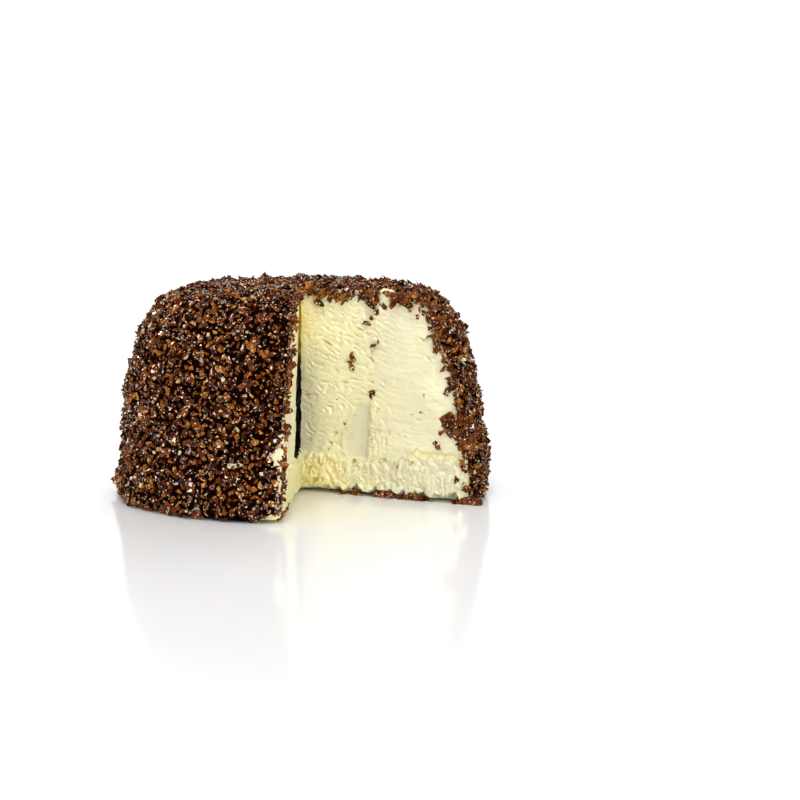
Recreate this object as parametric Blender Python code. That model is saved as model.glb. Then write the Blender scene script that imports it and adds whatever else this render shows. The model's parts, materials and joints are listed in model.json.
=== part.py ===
"""A round fresh cheese in a coat of crushed mustard, with one wedge cut out of it.

Run it with blender --background --python part.py, or from Blender's text editor. Units are metres and
+Z is up. The origin is on the table, under the middle of the base. The wedge is missing on the near
side, -Y: its left cut face runs along -Y and leans a little, and its right one runs off towards +X.

The cheese is a turned form, a drum whose side leans in and rounds over into a nearly flat top. Every
point of it is found by its angle about the cut point, where the two cut faces meet, by its distance
from there and by its height. So the coat and the cheese inside it share both cut faces.
"""

import math
import random

import bmesh
import bpy
from mathutils import Vector, noise
from mathutils.geometry import delaunay_2d_cdt

# Driving dimensions
BASE_RADIUS = 0.0375
HEIGHT = 0.0439
COAT_THICKNESS = 0.0016
CUT_POINT = Vector((-0.0007, 0.0012, 0.0))
RIGHT_CUT_ANGLE = math.radians(-25.0)
LEFT_CUT_ANGLE = math.radians(267.1)
LEFT_CUT_TWIST = math.radians(5.2)

# The section: (radius / BASE_RADIUS) ** SIDE_POWER + (height / HEIGHT) ** TOP_POWER = 1
SIDE_POWER = 7.4
TOP_POWER = 2.2
FOOT_SWELL = 0.0012
# The foot's swelling: its height and its spread, at the left (-X) and at the right
FOOT_HEIGHT = (0.0030, 0.0060)
FOOT_SPREAD = (0.0024, 0.0080)
FOOT_ROUND = 0.0018
HAND_SHAPED = 0.0005
HAND_SHAPED_LENGTH = 0.022

# The coat: crushed grains, as bumps on a lattice of triangles, over a smooth lining
COAT_CLEARANCE = 0.0005
COAT_GAP = 0.0003
COAT_SHOULDER = 0.0013
SHOULDER = (0.0320, 0.0370)
SHOULDER_SPREAD = 0.0070
GRAIN_SPACING = 0.00162
GRAIN_PEAK = (0.00030, 0.00060)
GRAIN_VALLEY = (-0.00050, 0.00005)
GRAIN_SHIFT = 0.25
LINING_SPACING = 0.0050
LINING_WAVE = 0.0003

# The cut faces
CUT_SPACING = 0.0021
CURD_HEIGHT = 0.0088
CURD_RELIEF = 0.0009
CURD_LUMP = 0.0030
PASTE_RELIEF = 0.00025
PASTE_LUMP = 0.0050
DENT_ALONG = 0.0125
DENT_HEIGHT = 0.0145
DENT_WIDTH = 0.0030
DENT_LENGTH = 0.0070
DENT_DEPTH = 0.0008
# The gap where the knife went on past the corner: height, then x and y from and to, off the cut point
SLIT_BOTTOM = (0.0092, (-0.0010, 0.0003), (-0.0080, 0.0045))
SLIT_TOP = (0.0400, (-0.00015, 0.0002), (-0.0010, 0.0030))

# The mustard crumbs that the knife has left on the right cut face, as read off the photo: how far along
# the cut from the cut point, height and radius, in millimetres
RIGHT_CRUMBS = (
    (17.8, 37.8, 0.6), (19.2, 39.1, 0.6), (16.0, 35.3, 1.1), (17.1, 31.3, 0.5), (18.3, 31.8, 0.5),
    (12.3, 28.2, 0.8), (12.3, 26.6, 0.7), (16.7, 21.1, 0.8), (27.0, 37.4, 0.5), (30.4, 33.4, 0.7),
    (31.6, 31.3, 0.6), (31.0, 29.6, 0.5), (33.3, 27.3, 0.7), (33.8, 25.6, 0.6), (34.4, 23.3, 0.8),
    (33.0, 21.9, 0.6), (28.4, 21.6, 0.6), (28.0, 18.1, 0.5), (10.4, 14.6, 0.5), (32.4, 14.3, 0.7),
    (31.3, 11.6, 0.9), (35.2, 13.1, 1.0), (33.6, 16.6, 0.8), (35.0, 15.7, 0.9), (34.9, 17.6, 0.8),
    (34.3, 19.2, 0.6), (4.3, 39.8, 0.8), (8.9, 40.6, 0.8), (11.0, 39.9, 0.9), (12.1, 38.8, 0.6),
    (14.9, 40.7, 0.7), (16.7, 40.2, 0.9), (18.1, 40.6, 0.6), (20.8, 40.4, 0.9), (23.5, 40.0, 0.8),
    (24.8, 39.0, 0.8), (26.4, 38.1, 0.6), (28.0, 35.9, 0.8), (29.6, 34.6, 0.6),
)  # fmt: skip
LEFT_CRUMBS = 12
LEFT_CRUMB_SIZES = (0.0005, 0.0008)
LEFT_CRUMB_BAND = (0.0013, 0.0075)
CRUMB_SUNK = 0.35
CRUMB_ROUGHNESS = 0.2

SEED = 7
COAT_COLOUR = (0.085, 0.032, 0.015, 1.0)
CHEESE_COLOUR = (0.88, 0.80, 0.50, 1.0)


def clear_scene():
    for obj in list(bpy.data.objects):
        bpy.data.objects.remove(obj, do_unlink=True)


def mix(pair, share):
    return pair[0] + (pair[1] - pair[0]) * share


def section(inset, lowest):
    """Closely spaced (radius, height) points of the turned form, up its side and over to the middle."""
    steps = 1000
    radius, height = BASE_RADIUS - inset, HEIGHT - inset
    shoulder = height * 0.5 ** (1 / TOP_POWER)
    heights = [lowest + (shoulder - lowest) * i / steps for i in range(steps + 1)]
    side = [(radius * (1 - (z / height) ** TOP_POWER) ** (1 / SIDE_POWER), z) for z in heights]
    radii = [side[-1][0] * (1 - i / steps) for i in range(1, steps + 1)]
    over = [(r, height * (1 - (r / radius) ** SIDE_POWER) ** (1 / TOP_POWER)) for r in radii]
    return side + over


def foot(angle, height):
    """How far the foot swells out, less the rounding of its lower edge."""
    right = 0.5 + 0.5 * math.cos(angle)
    swell = math.exp(-(((height - mix(FOOT_HEIGHT, right)) / mix(FOOT_SPREAD, right)) ** 2))
    share = max(0.0, 1 - height / FOOT_ROUND)
    return FOOT_SWELL * swell - FOOT_ROUND * (1 - math.sqrt(1 - share * share))


def reach(angle):
    """How far the base's edge is from the cut point in this direction, in base radii."""
    along = CUT_POINT.x * math.cos(angle) + CUT_POINT.y * math.sin(angle)
    root = math.sqrt(along * along - CUT_POINT.length_squared + BASE_RADIUS**2)
    return (root - along) / BASE_RADIUS


def hand_shaped(angle, height):
    """The form's unevenness, as a change of radius."""
    around = BASE_RADIUS / HAND_SHAPED_LENGTH
    where = (around * math.cos(angle), around * math.sin(angle), height / HAND_SHAPED_LENGTH)
    return HAND_SHAPED * noise.noise(Vector(where))


def left_cut(height):
    """The left cut face's direction from the cut point: it leans, because the knife was tilted."""
    return LEFT_CUT_ANGLE + LEFT_CUT_TWIST * height / HEIGHT


def right_cut(height):
    return RIGHT_CUT_ANGLE


def at(angle, out, height):
    return CUT_POINT + Vector((out * math.cos(angle), out * math.sin(angle), height))


def place(angle, radius, height):
    """The point at an angle about the cut point, for a radius and height of the section."""
    edge_share = min(1.0, radius / BASE_RADIUS)
    uneven = edge_share * (foot(angle, height) + hand_shaped(angle, height))
    return at(angle, radius * reach(angle) + uneven, height)


def outline(inset, spacing, lowest):
    """Evenly spaced points of the section, from its lowest height to just short of the top's middle."""
    points = section(inset, lowest)
    lengths = [0.0]
    for (r0, z0), (r1, z1) in zip(points, points[1:]):
        lengths.append(lengths[-1] + math.hypot(r1 - r0, z1 - z0))
    count = round(lengths[-1] / spacing)
    picked = []
    step = 0
    for row in range(count):
        while lengths[step] < lengths[-1] * row / count:
            step += 1
        picked.append(points[step])
    return picked


def row_angles(radius, height, spacing, shifted):
    """Angles from one cut face to the other at this spacing, shifted by half a step in every other row."""
    first, last = right_cut(height), left_cut(height)
    steps = max(2, round(radius * (last - first) / spacing))
    inner = [k + 0.5 for k in range(steps)] if shifted else list(range(1, steps))
    return [first + (last - first) * k / steps for k in [0, *inner, steps]]


def zip_rows(mesh, low, high):
    """Fills the strip between two rows of (place along the row, vertex) with triangles."""
    i = j = 0
    while i < len(low) - 1 or j < len(high) - 1:
        low_next = low[i + 1][0] if i < len(low) - 1 else math.inf
        high_next = high[j + 1][0] if j < len(high) - 1 else math.inf
        if low_next <= high_next:
            mesh.faces.new((low[i][1], low[i + 1][1], high[j][1]))
            i += 1
        else:
            mesh.faces.new((low[i][1], high[j + 1][1], high[j][1]))
            j += 1


def turned_sheet(mesh, inset, spacing, move):
    """An open sheet over the turned form. It returns its rows, each a list of (angle, vertex), and its
    top vertex. move(angle, radius, height) gives the radius and height that a point really has."""
    rows = []
    for number, (radius, height) in enumerate(outline(inset, spacing, COAT_CLEARANCE)):
        row = []
        for angle in row_angles(radius, height, spacing, number % 2 == 1):
            row.append((angle, mesh.verts.new(place(angle, *move(angle, radius, height)))))
        rows.append(row)
    top = mesh.verts.new(place(0.0, *move(0.0, 0.0, HEIGHT - inset)))
    for low, high in zip(rows, rows[1:]):
        zip_rows(mesh, low, high)
    zip_rows(mesh, rows[-1], [(0.0, top)])
    return rows, top


def column(rows, top, end):
    """The sheet's edge at a cut face, end 0 or -1, as (share of the way up, vertex)."""
    edge = [(number / len(rows), row[end][1]) for number, row in enumerate(rows)]
    return [*edge, (1.0, top)]


def lining(shrink):
    """The wavy surface between coat and cheese, moved in by a length."""

    def move(angle, radius, height):
        where = Vector((math.cos(angle), math.sin(angle), height / BASE_RADIUS)) * 4
        wave = LINING_WAVE * noise.noise(where) * radius / BASE_RADIUS
        off = math.hypot(radius - SHOULDER[0], height - SHOULDER[1]) / SHOULDER_SPREAD
        thicker = COAT_SHOULDER * math.exp(-off * off)
        radius += wave - shrink - 0.8 * thicker
        return max(radius, 0.0), height * (1 - shrink / HEIGHT) - 0.6 * thicker

    return move


def raise_grains(mesh, rows):
    """Moves the lattice's points out and in, so that they stand as crushed grains."""
    draw = random.Random(SEED)
    mesh.normal_update()
    border = set(vert for _, vert in rows[0]) | {row[end][1] for row in rows for end in (0, -1)}
    order = list(mesh.verts)
    draw.shuffle(order)
    peaks = set()
    moves = {}
    for vert in order:
        if {edge.other_vert(vert) for edge in vert.link_edges} & peaks:
            height = draw.uniform(*GRAIN_VALLEY)
        else:
            peaks.add(vert)
            height = draw.uniform(*GRAIN_PEAK)
        shift = Vector([draw.uniform(-1, 1) * GRAIN_SHIFT * GRAIN_SPACING for _ in range(3)])
        shift -= vert.normal * shift.dot(vert.normal)
        moves[vert] = vert.normal * height + shift * (vert not in border)
    for vert, move in moves.items():
        vert.co += move
        vert.co.z = max(vert.co.z, COAT_CLEARANCE)


def coat_mesh():
    """The mustard coat: a rough outer sheet, a smooth inner one, and the bands that join them."""
    mesh = bmesh.new()
    outer, outer_top = turned_sheet(mesh, 0.0, GRAIN_SPACING, lambda _, *spot: spot)
    raise_grains(mesh, outer)
    inner, inner_top = turned_sheet(mesh, COAT_THICKNESS, LINING_SPACING, lining(0.0))
    zip_rows(mesh, inner[0], outer[0])
    for end in (0, -1):
        zip_rows(mesh, column(inner, inner_top, end), column(outer, outer_top, end))
    bmesh.ops.recalc_face_normals(mesh, faces=mesh.faces)
    return mesh


def edge_points(mesh, start, end, spacing):
    """New vertices along a straight edge between two vertices, without its ends."""
    count = max(1, round((end.co - start.co).length / spacing))
    return [mesh.verts.new(start.co.lerp(end.co, k / count)) for k in range(1, count)]


def fill_border(mesh, border, flat, inner, solid_point):
    """Fills a closed border with triangles through inner points.

    flat gives each border vertex's place on the flattened face, and inner those of the points inside
    it, which solid_point(x, y) turns into points in space.
    """
    ring = [(k, (k + 1) % len(flat)) for k in range(len(flat))]
    _, _, faces, _, _, _ = delaunay_2d_cdt(flat + inner, ring, [], 1, 1e-7)
    verts = list(border) + [mesh.verts.new(solid_point(*point)) for point in inner]
    for face in faces:
        mesh.faces.new([verts[k] for k in face])


def lattice_inside(border, spacing):
    """Points of a triangular lattice that are inside a border and clear of it."""
    low = Vector((min(p.x for p in border), min(p.y for p in border)))
    high = Vector((max(p.x for p in border), max(p.y for p in border)))
    row_height = spacing * math.sqrt(3) / 2
    points = []
    for row in range(1, int((high.y - low.y) / row_height)):
        for step in range(int((high.x - low.x) / spacing) + 1):
            point = low + Vector(((step + 0.5 * (row % 2)) * spacing, row * row_height))
            if clearance(point, border) > spacing / 2:
                points.append(point)
    return points


def clearance(point, border):
    """Distance from a point to the border, negative outside it."""
    nearest = math.inf
    inside = False
    for a, b in zip(border, [*border[1:], border[0]]):
        share = max(0.0, min(1.0, (point - a).dot(b - a) / (b - a).length_squared))
        nearest = min(nearest, (point - a.lerp(b, share)).length)
        if (a.y > point.y) != (b.y > point.y):
            inside ^= point.x < a.x + (b.x - a.x) * (point.y - a.y) / (b.y - a.y)
    return nearest if inside else -nearest


def cut_relief(along, height):
    """How far the torn paste stands out of a cut face: curd lumps below, faint tears and a dent above."""
    lumps = noise.noise(Vector((along, height, 0.0)) / CURD_LUMP)
    tears = noise.noise(Vector((along, height, 1.0)) / PASTE_LUMP)
    in_curd = 1 / (1 + math.exp((height - CURD_HEIGHT) / (0.06 * CURD_HEIGHT)))
    across = (along - DENT_ALONG) / DENT_WIDTH
    up = (height - DENT_HEIGHT) / DENT_LENGTH
    dent = DENT_DEPTH * math.exp(-across * across - up * up)
    return in_curd * CURD_RELIEF * (0.6 + lumps) + (1 - in_curd) * (PASTE_RELIEF * tears - dent)


def cut_point_3d(cut, outward, along, height, stand):
    """A point of a cut face, standing out of it into the cut-out wedge. outward is 1 or -1."""
    angle = cut(height)
    normal = Vector((math.sin(angle), -math.cos(angle), 0.0)) * outward
    return at(angle, along, height) + normal * stand


def cheese_mesh():
    """The cheese itself: the side under the coat, the flat base and the two cut faces."""
    mesh = bmesh.new()
    rows, top = turned_sheet(mesh, COAT_THICKNESS, LINING_SPACING, lining(COAT_GAP))
    for _, vert in rows[0]:
        vert.co.z = 0.0
    bottom = mesh.verts.new(CUT_POINT)
    core_edge = edge_points(mesh, bottom, top, CUT_SPACING)
    base_edges = {}
    for end, cut, outward in ((0, right_cut, 1), (-1, left_cut, -1)):
        rim = [vert for _, vert in column(rows, top, end)]
        base_edges[end] = edge_points(mesh, bottom, rim[0], CUT_SPACING)
        border = [bottom, *base_edges[end], *rim, *reversed(core_edge)]
        flat = [Vector(((v.co - CUT_POINT).xy.length, v.co.z)) for v in border]
        fill_border(
            mesh, border, flat, lattice_inside(flat, CUT_SPACING),
            lambda s, z, c=cut, o=outward: cut_point_3d(c, o, s, z, cut_relief(s, z)),
        )  # fmt: skip
    base = [bottom, *base_edges[0], *(v for _, v in rows[0]), *reversed(base_edges[-1])]
    fill_border(mesh, base, [v.co.xy for v in base], [], None)
    bmesh.ops.recalc_face_normals(mesh, faces=mesh.faces)
    return mesh


def material(name, colour, roughness):
    made = bpy.data.materials.new(name)
    made.use_nodes = True
    shader = made.node_tree.nodes["Principled BSDF"]
    shader.inputs["Base Color"].default_value = colour
    shader.inputs["Roughness"].default_value = roughness
    shader.inputs["Metallic"].default_value = 0.0
    made.diffuse_color = colour
    return made


def add_object(name, mesh, finish=None, collection=None):
    data = bpy.data.meshes.new(name)
    mesh.to_mesh(data)
    mesh.free()
    obj = bpy.data.objects.new(name, data)
    (collection or bpy.context.scene.collection).objects.link(obj)
    if finish:
        data.materials.append(finish)
    return obj


def slit_cutter():
    """The narrow gap past the corner of the two cuts, wider and longer towards its bottom."""
    mesh = bmesh.new()
    levels = []
    for height, (x0, x1), (y0, y1) in (SLIT_BOTTOM, SLIT_TOP):
        corners = ((x0, y0), (x1, y0), (x1, y1), (x0, y1))
        levels.append([mesh.verts.new(CUT_POINT + Vector((x, y, height))) for x, y in corners])
    low, high = levels
    mesh.faces.new(low)
    mesh.faces.new(high)
    for k in range(4):
        mesh.faces.new((low[k], low[k - 1], high[k - 1], high[k]))
    bmesh.ops.recalc_face_normals(mesh, faces=mesh.faces)
    return add_object("slit_cutter", mesh)


def face_edge(angle, height):
    """How far from the cut point the cheese inside the coat reaches, at a height."""
    share = max(0.0, 1 - (height / (HEIGHT - COAT_THICKNESS)) ** TOP_POWER)
    return (BASE_RADIUS - COAT_THICKNESS) * share ** (1 / SIDE_POWER) * reach(angle)


def left_crumbs(draw):
    """Small crumbs near the left cut face's edge, as (along, height, radius)."""
    places = []
    for _ in range(LEFT_CRUMBS):
        height = draw.uniform(0.003, 0.036)
        along = face_edge(left_cut(height), height) - draw.uniform(*LEFT_CRUMB_BAND)
        places.append((along, height, draw.uniform(*LEFT_CRUMB_SIZES)))
    return places


def cut_face_crumbs(draw):
    """All crumbs, in a collection of their own."""
    crumbs = bpy.data.collections.new("crumbs")
    bpy.context.scene.collection.children.link(crumbs)
    right = [(s / 1000, z / 1000, r / 1000) for s, z, r in RIGHT_CRUMBS]
    for cut, outward, places in ((right_cut, 1, right), (left_cut, -1, left_crumbs(draw))):
        for along, height, radius in places:
            stand = cut_relief(along, height) + radius * (1 - 2 * CRUMB_SUNK)
            centre = cut_point_3d(cut, outward, along, height, stand)
            mesh = bmesh.new()
            bmesh.ops.create_icosphere(mesh, subdivisions=1, radius=radius)
            for vert in mesh.verts:
                vert.co *= 1 + draw.uniform(-CRUMB_ROUGHNESS, CRUMB_ROUGHNESS)
                vert.co += centre
            add_object("crumb", mesh, collection=crumbs)
    return crumbs


def apply_boolean(obj, operation, used, collection=None):
    """One Boolean, applied at once, whose other shapes are then removed."""
    boolean = obj.modifiers.new(operation.lower(), "BOOLEAN")
    boolean.operation = operation
    boolean.solver = "EXACT"
    if collection:
        boolean.operand_type = "COLLECTION"
        boolean.collection = collection
    else:
        boolean.object = used[0]
    graph = bpy.context.evaluated_depsgraph_get()
    made = bpy.data.meshes.new_from_object(obj.evaluated_get(graph))
    obj.modifiers.clear()
    obj.data = made
    for other in used:
        bpy.data.objects.remove(other, do_unlink=True)


def main():
    clear_scene()
    draw = random.Random(SEED)
    add_object("mustard_coat", coat_mesh(), material("crushed mustard", COAT_COLOUR, 0.4))
    cheese = add_object("cheese", cheese_mesh(), material("fresh cheese", CHEESE_COLOUR, 0.5))
    apply_boolean(cheese, "DIFFERENCE", [slit_cutter()])
    crumbs = cut_face_crumbs(draw)
    apply_boolean(cheese, "UNION", list(crumbs.objects), crumbs)


main()
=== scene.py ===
# %% [markdown]
# # A fresh cheese in a coat of crushed mustard
#
# This is a small round cheese, about 78 mm across, with one wedge cut out of it. It has three looks to
# get right: the moist, torn paste on the two cut faces, the crumbly curd at the foot of them, and the
# coat of many thousand angular crumbs of mustard seed. Shapes are worked out in millimetres, and each
# finished piece is scaled to metres once.

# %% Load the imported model, which is the fixed frame for all that follows
import json
import math
import random

import bpy
import numpy as np
from mathutils import Euler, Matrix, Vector, noise

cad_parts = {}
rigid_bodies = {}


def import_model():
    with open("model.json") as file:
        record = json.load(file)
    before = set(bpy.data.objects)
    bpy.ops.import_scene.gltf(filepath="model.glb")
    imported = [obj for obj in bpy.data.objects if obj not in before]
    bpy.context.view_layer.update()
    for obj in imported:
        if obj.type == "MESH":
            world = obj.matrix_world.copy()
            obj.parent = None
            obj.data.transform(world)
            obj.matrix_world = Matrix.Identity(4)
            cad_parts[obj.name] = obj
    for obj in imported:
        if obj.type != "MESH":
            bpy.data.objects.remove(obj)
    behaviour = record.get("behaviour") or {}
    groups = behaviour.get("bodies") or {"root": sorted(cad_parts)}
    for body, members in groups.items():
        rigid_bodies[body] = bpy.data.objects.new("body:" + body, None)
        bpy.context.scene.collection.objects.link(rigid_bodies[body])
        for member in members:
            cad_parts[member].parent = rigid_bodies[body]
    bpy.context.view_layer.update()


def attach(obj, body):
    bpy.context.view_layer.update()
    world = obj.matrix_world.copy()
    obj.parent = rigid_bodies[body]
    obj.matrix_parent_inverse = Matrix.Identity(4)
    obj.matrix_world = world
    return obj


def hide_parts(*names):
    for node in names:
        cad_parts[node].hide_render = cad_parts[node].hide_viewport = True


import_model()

# %% [markdown]
# ## The camera and the light
#
# The photograph was taken with a long lens from just above the table, and the left cut face is seen
# almost edge-on. The light is soft and white all round, which leaves pale shadows, with a stronger
# light from above that brings out the tears in the paste.
#
# A crumb's flat side is a tiny mirror. Large lights would veil every crumb with grey, so they are kept
# out of mirror images, and small bright panels are seen there alone, as glints.

# %% Camera
def add_object(name, data):
    made = bpy.data.objects.new(name, data)
    bpy.context.collection.objects.link(made)
    return made


camera = add_object("camera", bpy.data.cameras.new("camera"))
camera.data.lens, camera.data.sensor_width = 106, 36
camera.location = (0.0325, -0.4793, 0.0819)
camera.rotation_euler = (math.radians(90 - 7.46), 0, math.radians(1.5))
bpy.context.scene.camera = camera
bpy.context.scene.view_settings.view_transform = "Standard"


# %% Lights, each aimed at the middle of the cheese
def add_light(name, place, width, watts, hidden_from=""):
    """A square light, aimed at the cheese and hidden from "glossy" or "diffuse" surfaces if need be."""
    data = bpy.data.lights.new(name, "AREA")
    data.shape, data.size, data.energy = "SQUARE", width, watts
    light = add_object(name, data)
    light.location = place
    light.rotation_euler = (Vector((0, 0, 0.02)) - light.location).to_track_quat("-Z", "Y").to_euler()
    if hidden_from:
        setattr(light, "visible_" + hidden_from, False)


add_light("key_softbox", (-0.04, -0.36, 0.66), 0.16, 1.6, "glossy")
add_light("fill_softbox", (0.36, -0.8, 0.22), 0.45, 2.7, "glossy")
add_light("left_softbox", (-0.7, -0.45, 0.3), 0.4, 1.3, "glossy")
add_light("back_softbox", (0.1, 0.6, 0.5), 0.3, 1.0, "glossy")
GLINTS = (
    (-0.62, -0.25, 0.15), (-0.5, -0.45, 0.4), (-0.25, -0.65, 0.12), (-0.2, -0.5, 0.5), (0.05, -0.68, 0.3),
    (0.15, -0.4, 0.62), (0.35, -0.6, 0.15), (-0.68, 0.05, 0.35), (-0.4, -0.58, 0.22), (-0.45, 0.5, 0.3),
)
for number, place in enumerate(GLINTS):
    add_light(f"glint_panel_{number}", place, width=0.08, watts=2.8, hidden_from="diffuse")


# %% [markdown]
# ## Helpers
#
# Node trees are easier to read as expressions than as lists of links. One small class wraps a node's
# output, so that `1 - mask` adds a Math node, and one method makes every other kind of node.


# %% Node trees as expressions
class Value:
    """An output of a node, with the arithmetic that is used on it."""

    def __init__(self, tree, socket):
        self.tree, self.socket = tree, socket

    def math(self, operation, *others, swap=False):
        values = [self, *others]
        return self.tree.node("ShaderNodeMath", {"operation": operation}, values[::-1] if swap else values)

    def __add__(self, other):
        return self.math("ADD", other)

    def __sub__(self, other):
        return self.math("SUBTRACT", other)

    def __mul__(self, other):
        return self.math("MULTIPLY", other)

    def __rsub__(self, other):
        return self.math("SUBTRACT", other, swap=True)

    __radd__, __rmul__ = __add__, __mul__

    def output(self, name):
        """Another output of the same node."""
        return Value(self.tree, self.socket.node.outputs[name])


class Tree:
    """A node tree that is built by calls of node()."""

    def __init__(self, tree):
        self.tree = tree

    def node(self, kind, settings, inputs, output=0):
        """Adds a node: first its settings, then values or links for its inputs, by place or by name."""
        made = self.tree.nodes.new(kind)
        for name, value in settings.items():
            if name == "stops":
                elements = made.color_ramp.elements
                while len(elements) < len(value):
                    elements.new(0.5)
                for element, (place, colour) in zip(elements, value):
                    element.position, element.color = place, (*colour[:3], 1)
            else:
                setattr(made, name, value)
        for key, value in inputs.items() if isinstance(inputs, dict) else enumerate(inputs):
            if isinstance(value, Value):
                self.tree.links.new(value.socket, made.inputs[key])
            elif value is not None:
                made.inputs[key].default_value = value
        return Value(self, made.outputs[output]) if len(made.outputs) else None

    def ramp(self, factor, *stops):
        return self.node("ShaderNodeValToRGB", {"stops": stops}, [factor])

    def blend(self, factor, first, second, how="MIX"):
        """Mixes two colours."""
        settings = {"data_type": "RGBA", "blend_type": how}
        return self.node("ShaderNodeMix", settings, {0: factor, 6: first, 7: second}, output=2)

    def span(self, value, start, end, low=0.0, high=1.0, settings=None):
        """Maps start to low and end to high, and stays level beyond them."""
        return self.node("ShaderNodeMapRange", settings or {}, [value, start, end, low, high])

    def bump(self, height, strength, distance):
        return self.node("ShaderNodeBump", {}, {"Strength": strength, "Distance": distance, "Height": height})

    def fog(self, scale, detail=3.0, roughness=0.5):
        """Noise from 0 to 1 on the piece's own coordinates, with its scale in cycles a metre."""
        place = self.node("ShaderNodeTexCoord", {}, []).output("Object")
        inputs = {"Vector": place, "Scale": scale, "Detail": detail, "Roughness": roughness}
        return self.node("ShaderNodeTexNoise", {}, inputs)

    def attribute(self, name):
        return self.node("ShaderNodeAttribute", {"attribute_name": name}, []).output("Fac")


def srgb(red, green, blue):
    """A colour as a screen shows it, turned into the linear values that a shader takes."""
    channels = [value / 255 for value in (red, green, blue)]
    linear = [c / 12.92 if c <= 0.04045 else ((c + 0.055) / 1.055) ** 2.4 for c in channels]
    return (*linear, 1.0)


def new_material(name, look):
    """A material whose look(tree) returns the inputs of its Principled BSDF by name."""
    material = bpy.data.materials.new(name)
    material.use_nodes = True
    material.node_tree.nodes.clear()
    tree = Tree(material.node_tree)
    shader = tree.node("ShaderNodeBsdfPrincipled", {}, look(tree))
    tree.node("ShaderNodeOutputMaterial", {}, {"Surface": shader})
    return material


# %% Work on one piece
def set_mode(mode):
    bpy.ops.object.mode_set(mode=mode)


def select_only(piece):
    bpy.ops.object.select_all(action="DESELECT")
    piece.select_set(True)
    bpy.context.view_layer.objects.active = piece


# %% Change and cut a piece
def apply_modifier(piece, kind, **settings):
    """Adds a modifier, sets it and applies it at once."""
    select_only(piece)
    modifier = piece.modifiers.new(kind.lower(), kind)
    for name, value in settings.items():
        setattr(modifier, name, value)
    bpy.ops.object.modifier_apply(modifier=modifier.name)


def put_in_order(piece):
    """Sorts points and faces by place, because a Boolean leaves them in another order each time it runs."""
    points = [tuple(vert.co) for vert in piece.data.vertices]
    order = sorted(range(len(points)), key=lambda k: [round(value, 3) for value in points[k]])
    rank = {old: new for new, old in enumerate(order)}
    faces = []
    for face in piece.data.polygons:
        corners = [rank[k] for k in face.vertices]
        first = corners.index(min(corners))
        faces.append(corners[first:] + corners[:first])
    piece.data.clear_geometry()
    piece.data.from_pydata([points[k] for k in order], [], sorted(faces))


def cut_away(piece, cutter):
    apply_modifier(piece, "BOOLEAN", operation="DIFFERENCE", solver="MANIFOLD", object=cutter)
    bpy.data.objects.remove(cutter, do_unlink=True)
    put_in_order(piece)


def points_of(piece):
    points = np.empty(len(piece.data.vertices) * 3)
    piece.data.vertices.foreach_get("co", points)
    return points.reshape(-1, 3)


def set_points(piece, points):
    piece.data.vertices.foreach_set("co", np.asarray(points, float).ravel())
    piece.data.update()


def keep(piece, name, values):
    """Keeps a value for each point, which materials and Geometry Nodes read by its name."""
    piece.data.attributes.new(name, "FLOAT", "POINT").data.foreach_set("value", values)


def finish_piece(piece, material, node):
    """Scales a piece to metres, gives it its material, hangs it on the root body and hides the part it stands in for.
    """
    select_only(piece)
    piece.scale = (0.001, 0.001, 0.001)
    bpy.ops.object.transform_apply(location=True, rotation=True, scale=True)
    piece.data.materials.clear()
    piece.data.materials.append(material)
    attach(piece, "root")
    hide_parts(node)


# %% [markdown]
# ## The floor
#
# A plain white table top with a soft gloss, so that the cheese stands in a faint, blurred reflection.
# The room behind it is plain white too.

# %% Floor
bpy.ops.mesh.primitive_plane_add(size=1.6)
floor = bpy.context.object
floor.name = "floor"


def floor_look(tree):
    return {"Base Color": (0.97, 0.97, 0.97, 1), "Roughness": 0.12, "Specular IOR Level": 0.3}


floor.data.materials.append(new_material("white table top", floor_look))

# %% Room: full white where it is seen; as a light it is bright overhead and behind, and dim in front
OVERHEAD, BACKDROP, FRONT, SEEN = 1.0, 1.05, 0.22, 1.5
# How much a mirror image leaves out of the ceiling, and of the backdrop beside the table
CEILING_LESS, SIDES_LESS = 0.6, 0.7
world = bpy.data.worlds.new("white room")
world.use_nodes = True
world.node_tree.nodes.clear()
room = Tree(world.node_tree)
seen = room.node("ShaderNodeLightPath", {}, [])
direction = room.node("ShaderNodeTexCoord", {}, []).output("Generated")
heading = room.node("ShaderNodeSeparateXYZ", {}, [direction])
smooth = {"interpolation_type": "SMOOTHSTEP"}
above = room.span(heading.output("Z"), 0.45, 0.8, FRONT, OVERHEAD, smooth)
behind = room.span(heading.output("Y"), 0.45, 0.85, FRONT, BACKDROP, smooth)
aside = room.span(heading.output("X").math("ABSOLUTE"), 0.2, 0.45, 0.0, 1.0, smooth)
glossy = seen.output("Is Glossy Ray")
lamp = (above * (1 - CEILING_LESS * glossy)).math("MAXIMUM", behind * (1 - SIDES_LESS * (glossy * aside)))
glow = room.node("ShaderNodeBackground", {}, [(1, 1, 1, 1), lamp + seen * (SEEN - lamp)])
room.node("ShaderNodeOutputWorld", {}, {"Surface": glow})
bpy.context.scene.world = world

# %% [markdown]
# ## The form
#
# A cheese like this drains in a mould, so its shape is one curve spun round an upright axis. The same
# named values as in the solid model give that curve, so the dressed cheese has the size of the solid
# one. Small changes of the radius then make it a soft, hand-handled thing.

# %% Named sizes, in millimetres
BASE_RADIUS, HEIGHT = 37.5, 43.9
SIDE_POWER, TOP_POWER = 7.4, 2.2
FOOT_SWELL, FOOT_ROUND = 1.2, 1.8
FOOT_HEIGHT, FOOT_SPREAD = (3.0, 6.0), (2.4, 8.0)
HAND_SHAPED, HAND_SHAPED_LENGTH = 0.5, 22.0
SHOULDER, SHOULDER_SPREAD = (33.5, 33.5), 5.0
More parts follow.
